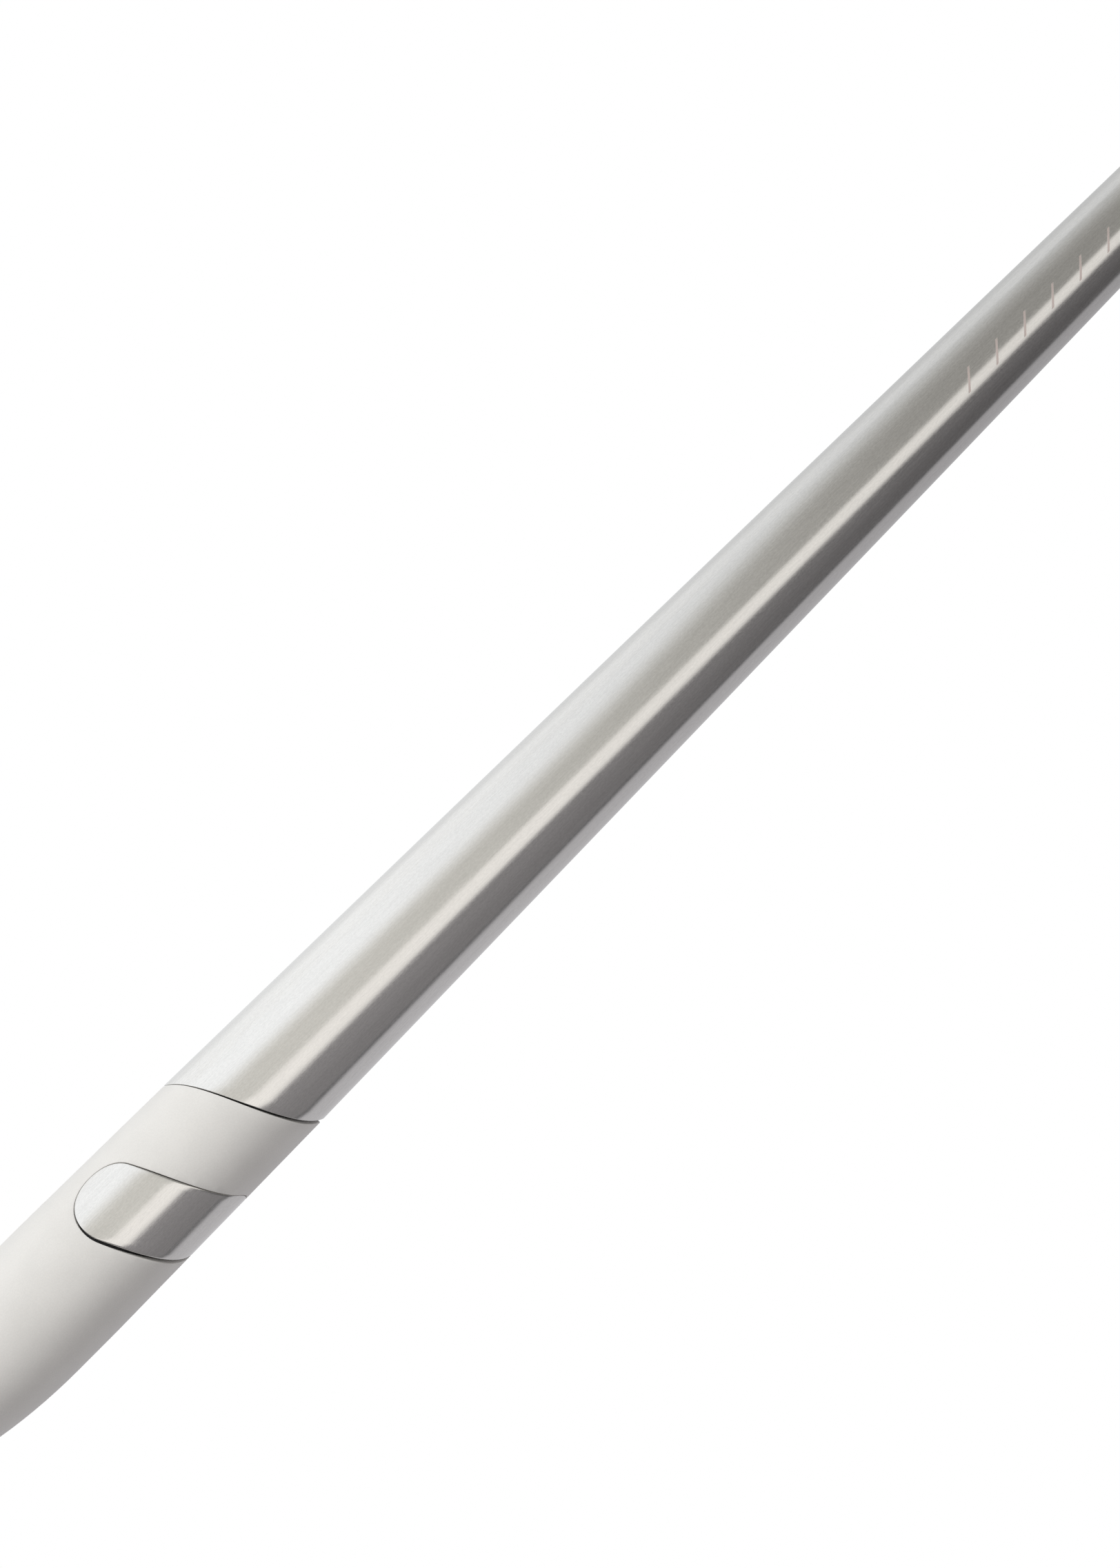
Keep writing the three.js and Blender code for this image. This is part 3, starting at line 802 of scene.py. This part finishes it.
class CANE_OT_head_fittings(bpy.types.Operator):
    """The strap eyelet, trimmed to the beak, and the two charge contacts"""
    bl_idname = "cane.head_fittings"
    bl_label = "Head fittings"

    def execute(self, context):
        self.eyelet()
        self.contacts()
        return {"FINISHED"}

    def contacts(self):
        """Models one domed contact and copies it to the other's place."""
        low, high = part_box("charge_contact_1")
        station = sum(frame_stations("charge_contact_1")) / 2
        first = post("domed_charge_contact_1", 1.8 * MM, low.y, high.y, FAR_SIDE, station)
        soften(first, 0.35 * MM, 50, 4)
        pick(first)
        bpy.ops.object.duplicate(linked=False)
        bpy.ops.transform.translate(value=(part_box("charge_contact_2")[0].x - low.x, 0, 0))
        second = named("domed_charge_contact_2")
        for number, contact in enumerate((first, second), 1):
            complete(contact, "handle", plated_contact(), f"charge_contact_{number}")

    def eyelet(self):
        """Turns the bush about the cane's axis, then stands it up with its ends on the beak."""
        head = settings("head")
        bore, outer = 3 * MM, half_width("strap_eyelet") - 0.05 * MM
        level = 10 * MM
        lip = [(0.14 * MM, 0.0), (0.04 * MM, 0.05 * MM), (0.0, 0.15 * MM)]
        rim = [(level - drop, bore + out) for drop, out in lip]
        rim += [(level - drop, outer - out) for drop, out in reversed(lip)]
        bush = turned("rolled_strap_eyelet", rim + [(-s, r) for s, r in reversed(rim)], 64)

        def stand(point):
            s, phi, r = polar(point)
            across, aside = r * math.cos(phi), r * math.sin(phi) + head.eyelet_side
            centre, radius = head_section(head.eyelet_station + across)
            height = math.sqrt(radius ** 2 - (aside - centre) ** 2) + abs(s) - level
            return Vector((SEAM_X + head.eyelet_station + across, aside,
                           AXIS_Z + math.copysign(height, s)))
        reshape(bush, stand)
        edit(bush)
        face_outwards()
        complete(bush, "handle", machined_steel(), "strap_eyelet")


# ---- The handle tube and the shaft -------------------------------------------

class CANE_OT_handle_tube(bpy.types.Operator):
    """The tapered tube, whose broad end follows the seam"""
    bl_idname = "cane.handle_tube"
    bl_label = "Handle tube"

    def execute(self, context):
        handle = settings("handle")
        end = frame_stations("handle_tube")[1]
        close, near_rings, far_rings = 24 * MM, 10, 40
        stations = [close * i / near_rings for i in range(near_rings)]
        stations += [mix(close, end, i / far_rings) for i in range(far_rings + 1)]
        outside = [(s, tube_radius(s)) for s in stations]
        inside = [(s, r - handle.wall) for s, r in reversed(outside)]
        tube = turned("tapered_handle_tube", outside + inside, handle.segments)
        reshape(tube, follow_seam(1, close))
        soften(tube, handle.edge, 60)
        complete(tube, "handle", etched_aluminium(), "handle_tube")
        return {"FINISHED"}


class CANE_OT_nose_ring(bpy.types.Operator):
    """The trim ring at the handle's mouth"""
    bl_idname = "cane.nose_ring"
    bl_label = "Nose ring"

    def execute(self, context):
        start, end = frame_stations("nose_ring")
        outer = frame_radius("nose_ring")
        bore = frame_radius("upper_tube") + 0.2 * MM
        profile = [(start, bore), (start, outer), (end, outer), (end, bore)]
        ring = turned("turned_nose_ring", profile)
        soften(ring, 0.35 * MM, segments=4)
        complete(ring, "handle", satin_aluminium(), "nose_ring")
        return {"FINISHED"}


class CANE_OT_shaft_tubes(bpy.types.Operator):
    """The three sliding sections in their reflective film"""
    bl_idname = "cane.shaft_tubes"
    bl_label = "Shaft tubes"

    def execute(self, context):
        wall, rings = 0.6 * MM, 24
        for section, slot, which in (("upper", "white_sleeve", "sleeve"),
                                     ("middle", "white_sleeve", "sleeve"),
                                     ("lower", "red_sleeve", "lowest_sleeve")):
            node = f"{section}_tube"
            start, end = frame_stations(node)
            outer = frame_radius(node)
            outside = [(mix(start, end, i / rings), outer) for i in range(rings + 1)]
            inside = [(end, outer - wall), (start, outer - wall)]
            tube = turned(f"{section}_reflective_tube", outside + inside)
            soften(tube, 0.18 * MM, 60)
            complete(tube, f"{section}_shaft", reflective_sleeve(which), node)
        return {"FINISHED"}


class CANE_OT_collars(bpy.types.Operator):
    """The two grooved collars at the mouths of the upper and middle sections"""
    bl_idname = "cane.collars"
    bl_label = "Collars"

    def execute(self, context):
        chamfer, clearance = 0.4 * MM, 0.1 * MM
        groove, depth, pitch = 0.5 * MM, 0.3 * MM, 2 * MM
        for section, following in (("upper", "middle"), ("middle", "lower")):
            node = f"{section}_collar"
            start, end = frame_stations(node)
            outer = frame_radius(node)
            bore = frame_radius(f"{section}_tube") + clearance
            lip, lip_bore = end - 0.7 * MM, frame_radius(f"{following}_tube") + clearance
            profile = [(start, bore), (start, outer - chamfer), (start + chamfer, outer)]
            for number in range(4):
                here = start + 2.4 * MM + number * pitch
                profile += [(here, outer), (here + groove / 4, outer - depth),
                            (here + groove * 3 / 4, outer - depth), (here + groove, outer)]
            profile += [(end - chamfer, outer), (end, outer - chamfer),
                        (end, lip_bore), (lip, lip_bore), (lip, bore)]
            collar = turned(f"{section}_grooved_collar", profile)
            soften(collar, 0.09 * MM, 35, 2)
            complete(collar, f"{section}_shaft", satin_aluminium(), node)
        return {"FINISHED"}


# ---- The rolling tip ---------------------------------------------------------

class CANE_OT_tip_socket(bpy.types.Operator):
    """The ribbed socket that carries the roller's axle"""
    bl_idname = "cane.tip_socket"
    bl_label = "Tip socket"

    def execute(self, context):
        start, end = frame_stations("tip_socket")
        bore = frame_radius("lower_tube") + 0.1 * MM
        shoulder = frame_radius("tip_socket")
        neck, boss, axle_hole = 5.2 * MM, 3.6 * MM, 2.5 * MM
        neck_end, floor, face = start + 12 * MM, start + 18.3 * MM, end - 2.2 * MM
        chamfer, groove, slope, depth = 0.4 * MM, 1.2 * MM, 0.3 * MM, 0.35 * MM
        profile = [(start, bore), (start, neck - chamfer), (start + chamfer, neck)]
        for number in range(3):
            here = start + (3 + 2.4 * number) * MM
            profile += [(here, neck), (here + slope, neck - depth),
                        (here + groove - slope, neck - depth), (here + groove, neck)]
        rings = 8
        profile += [(mix(neck_end, floor, i / rings), mix(neck, shoulder, smooth(i / rings)))
                    for i in range(rings + 1)]
        profile += [(face, shoulder), (face, boss), (end, boss),
                    (end, axle_hole), (floor, axle_hole), (floor, bore)]
        socket = turned("ribbed_tip_socket", profile)
        soften(socket, 0.12 * MM, 40, 2)
        complete(socket, "lower_shaft", moulded_nylon(), "tip_socket")
        return {"FINISHED"}


class CANE_OT_tip_roller(bpy.types.Operator):
    """The barrel-shaped roller and the cap that closes it"""
    bl_idname = "cane.tip_roller"
    bl_label = "Tip roller"

    def execute(self, context):
        start, end = frame_stations("tip_roller")
        crown = frame_radius("tip_roller")
        end_radius, lip, bore, seat = 9.8 * MM, 5.2 * MM, 6.55 * MM, 9.3 * MM
        shoulder, steps = 12 * MM, 12
        rounding = [math.pi / 2 * i / steps for i in range(steps + 1)]
        rise = [(mix(start + shoulder, start, math.cos(t)), mix(end_radius, crown, math.sin(t)))
                for t in rounding]
        fall = [(mix(end - shoulder, end, math.sin(t)), mix(end_radius, crown, math.cos(t)))
                for t in rounding]
        floor, lip_end = end - 3.4 * MM, start + 1.7 * MM
        profile = [(start, lip), *rise, *fall, (end, seat), (floor, seat), (floor, bore),
                   (lip_end, bore), (lip_end, lip)]
        roller = turned("barrel_tip_roller", profile, 128)
        soften(roller, 0.25 * MM, 50)
        complete(roller, "tip_roller", turned_nylon(), "tip_roller")
        self.cap()
        return {"FINISHED"}

    def cap(self):
        """A disc with a dish in its face and a skirt that reaches into the roller."""
        skirt_start, end = frame_stations("roller_cap")
        radius = frame_radius("roller_cap")
        floor, inner, outer = end - 3.4 * MM, 5.6 * MM, 6.3 * MM
        dish, dish_floor, hub = 5.5 * MM, end - 0.5 * MM, 1.2 * MM
        profile = [(floor, hub), (floor, inner), (skirt_start, inner), (skirt_start, outer),
                   (floor, outer), (floor, radius), (end, radius), (end, dish),
                   (dish_floor, dish - 0.3 * MM), (dish_floor, hub)]
        cap = turned("dished_roller_cap", profile, 96, closed=False)
        soften(cap, 0.25 * MM, 50)
        complete(cap, "tip_roller", turned_nylon(), "roller_cap")


# ---- Pieces that keep the frame's own shape ----------------------------------

class CANE_OT_inner_pieces(bpy.types.Operator):
    """The pieces inside the cane, which keep the frame's shapes and take finishes of their own"""
    bl_idname = "cane.inner_pieces"
    bl_label = "Inner pieces"

    def execute(self, context):
        finishes = {
            moulded_nylon: "dark_plastic", machined_steel: "steel", plated_contact: "brass",
            soft_rubber: "rubber", solder_mask: "circuit_board", cell_wrap: "cell_wrap",
        }
        replaced = {name for piece in bpy.data.objects for name in piece.get("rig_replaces", [])}
        slots = {part["node"]: part["material_slot"] for part in frame["record"]["subparts"]}
        for finish, slot in finishes.items():
            for node, piece in frame["nodes"].items():
                if slots[node] == slot and node not in replaced:
                    for holder in piece.material_slots:
                        holder.material = finish()
        return {"FINISHED"}


# ---- The studio --------------------------------------------------------------

def glowing(name, build):
    """A material that gives off light, whose strength is worked out from a place."""
    material = bpy.data.materials.new(name)
    material.use_nodes = True
    tree = material.node_tree
    tree.nodes.clear()
    place = make(tree, "ShaderNodeTexCoord", output=3)
    colour, strength = build(tree, *split(tree, place))
    light = make(tree, "ShaderNodeEmission", None, {"Color": colour, "Strength": strength})
    make(tree, "ShaderNodeOutputMaterial", None, {"Surface": light}, None)
    return material


def along_handle(x, end):
    """Goes from 0 over the head to 1 at a station by the narrow end of the handle."""
    return x.step(SEAM_X + 20 * MM, SEAM_X + end)


def between(factor, low, high):
    return factor * (high - low) + low


def for_gloss_only(tree, level):
    """Light that shiny things mirror at this level, while an even one falls on matt things."""
    matt = make(tree, "ShaderNodeLightPath", output=2)
    return between(matt, level, settings("studio").ambient)


def tent_light(tree, x, y, z):
    """Soft panels over the cane: a low one behind, a mid-toned one, a bright strip, a dark side.

    Their bounds are degrees from straight up towards the front. Where one is given twice, it goes
    from the first value over the head to the second at the narrow end, and so do the levels.
    """
    theta = angle_round(y, z - AXIS_Z) * math.degrees(1)
    narrow = along_handle(x, 300 * MM)
    border = x.step(SEAM_X + 127 * MM, SEAM_X + 235 * MM, -42.0, -72.0)
    spread = between(narrow, 16.0, 38.0)
    low_panel = (theta - border).step(-spread, spread, 1.0, 0.0)
    shifted = theta - narrow * 3.0
    strip = shifted.step(0, 8) * shifted.step(24, 35, 1.0, 0.0)
    dark_side = shifted.step(26, 37)
    behind = between(narrow, 1.4, 0.86)
    middle = between(narrow, 0.9, 0.4)
    bright = between(narrow, 1.28, 1.1)
    dark = between(narrow, 0.34, 0.19) - theta.step(45, 80) * 0.05
    over = (1 - strip) * ((1 - dark_side) * middle + dark_side * dark) + strip * bright
    level = low_panel * behind + (1 - low_panel) * over
    over_tint = strip.blend((1.0, 0.985, 0.93), (1.0, 0.975, 0.94))
    front_tint = dark_side.blend(over_tint, (1.0, 0.965, 0.985))
    return low_panel.blend(front_tint, (0.98, 1.0, 1.015)), for_gloss_only(tree, level)


def floor_light(tree, x, y, z):
    """A pale floor, brighter behind the cane than in front of it to everything but the camera."""
    narrow = along_handle(x, 236 * MM)
    front = y.step(4 * MM, -12 * MM)
    back = y.step(0.0, 50 * MM, between(narrow, 0.8, 0.68), between(narrow, 1.36, 0.95))
    near = y.step(-170 * MM, -70 * MM, 0.3, 1.0)
    level = (1 - front) * back + front * near * between(narrow, 0.66, 0.5)
    seen = make(tree, "ShaderNodeLightPath", output=0)
    tint = front.blend((0.985, 1.0, 1.01), (0.985, 0.97, 1.0))
    return seen.blend(tint, (1.0, 1.0, 1.0)), between(seen, for_gloss_only(tree, level), 1.0)


class CANE_OT_studio(bpy.types.Operator):
    """The pale floor, the light tent, the surroundings and the camera"""
    bl_idname = "cane.studio"
    bl_label = "Studio"

    def execute(self, context):
        self.floor()
        self.tent()
        self.key_light()
        self.surroundings(context)
        self.camera(context)
        context.scene.view_settings.view_transform = "Standard"
        return {"FINISHED"}

    def floor(self):
        fresh()
        bpy.ops.mesh.primitive_grid_add(x_subdivisions=8, y_subdivisions=8, size=12,
                                        location=(0, 0, -0.2 * MM))
        floor = named("studio_floor")
        floor.data.materials.append(glowing("pale floor", floor_light))

    def tent(self):
        fresh()
        bpy.ops.mesh.primitive_cylinder_add(vertices=96, radius=settings("studio").tent_radius,
                                            depth=2.4, end_fill_type="NOTHING",
                                            location=(0, 0, AXIS_Z), rotation=ALONG_X)
        tent = named("light_tent")
        edit(tent)
        bpy.ops.mesh.select_all(action="SELECT")
        bpy.ops.mesh.bisect(plane_co=(0, 0, 2 * MM), plane_no=(0, 0, 1), clear_inner=True)
        bpy.ops.object.mode_set(mode="OBJECT")
        tent.data.materials.append(glowing("light tent", tent_light))
        tent.visible_camera = tent.visible_shadow = False

    def key_light(self):
        """A soft sun over the cane's shoulder, left out of what shiny pieces mirror."""
        studio = settings("studio")
        fresh()
        bpy.ops.object.light_add(type="SUN", location=(0, 0, 1), rotation=(studio.key_angle, 0, 0))
        key = bpy.context.object
        key.name = "key_light"
        key.data.energy = studio.key
        key.data.angle = math.radians(24)
        key.data.color = (1.0, 0.995, 0.985)
        key.visible_glossy = False

    def surroundings(self, context):
        world = bpy.data.worlds.new("soft studio")
        world.use_nodes = True
        tree = world.node_tree
        tree.nodes.clear()
        seen = make(tree, "ShaderNodeLightPath", output=0)
        sky = make(tree, "ShaderNodeBackground", None,
                   {"Color": (1, 1, 1, 1), "Strength": between(seen, 0.3, 1.0)})
        make(tree, "ShaderNodeOutputWorld", None, {"Surface": sky}, None)
        context.scene.world = world

    def camera(self, context):
        studio = settings("studio")
        fresh()
        place = Vector((SEAM_X, 0, AXIS_Z + studio.distance))
        target = Vector((SEAM_X + studio.aim, studio.side, AXIS_Z))
        bpy.ops.object.camera_add(location=place)
        camera = context.object
        camera.name = "studio_camera"
        back = (place - target).normalized()
        right = Vector((math.cos(studio.roll), -math.sin(studio.roll), 0))
        right = (right - back * right.dot(back)).normalized()
        up = back.cross(right)
        turn = Matrix((right, up, back)).transposed().to_4x4()
        camera.matrix_world = Matrix.Translation(place) @ turn
        sensor = 36
        camera.data.sensor_fit = "AUTO"
        camera.data.sensor_width = sensor
        camera.data.lens = sensor * (place - target).length / studio.frame_height
        context.scene.camera = camera


# ---- The add-on --------------------------------------------------------------

GROUPS = {
    "handle": CaneHandleSettings, "head": CaneHeadSettings, "button": CaneButtonSettings,
    "finish": CaneFinishSettings, "studio": CaneStudioSettings,
}
OPERATORS = (
    CANE_OT_studio, CANE_OT_head_shell, CANE_OT_thumb_button, CANE_OT_head_fittings,
    CANE_OT_handle_tube, CANE_OT_nose_ring, CANE_OT_shaft_tubes, CANE_OT_collars,
    CANE_OT_tip_socket, CANE_OT_tip_roller, CANE_OT_inner_pieces,
)
CLASSES = (*GROUPS.values(), *OPERATORS)


class CANE_PT_panel(bpy.types.Panel):
    """Lists the pieces and their sizes"""
    bl_label = "White Cane"
    bl_idname = "CANE_PT_panel"
    bl_space_type = "VIEW_3D"
    bl_region_type = "UI"
    bl_category = "White Cane"

    def draw(self, context):
        for group, kind in GROUPS.items():
            box = self.layout.box()
            box.label(text=group.capitalize())
            for name in kind.__annotations__:
                box.prop(settings(group), name)
        for operator in OPERATORS:
            self.layout.operator(operator.bl_idname)


def register():
    for kind in (*CLASSES, CANE_PT_panel):
        bpy.utils.register_class(kind)
    for group, kind in GROUPS.items():
        setattr(bpy.types.Scene, "cane_" + group, PointerProperty(type=kind))


def unregister():
    for group in GROUPS:
        delattr(bpy.types.Scene, "cane_" + group)
    for kind in (CANE_PT_panel, *reversed(CLASSES)):
        bpy.utils.unregister_class(kind)


def main():
    register()
    for operator in OPERATORS:
        getattr(bpy.ops.cane, operator.bl_idname.split(".")[1])()


if __name__ == "__main__":
    main()
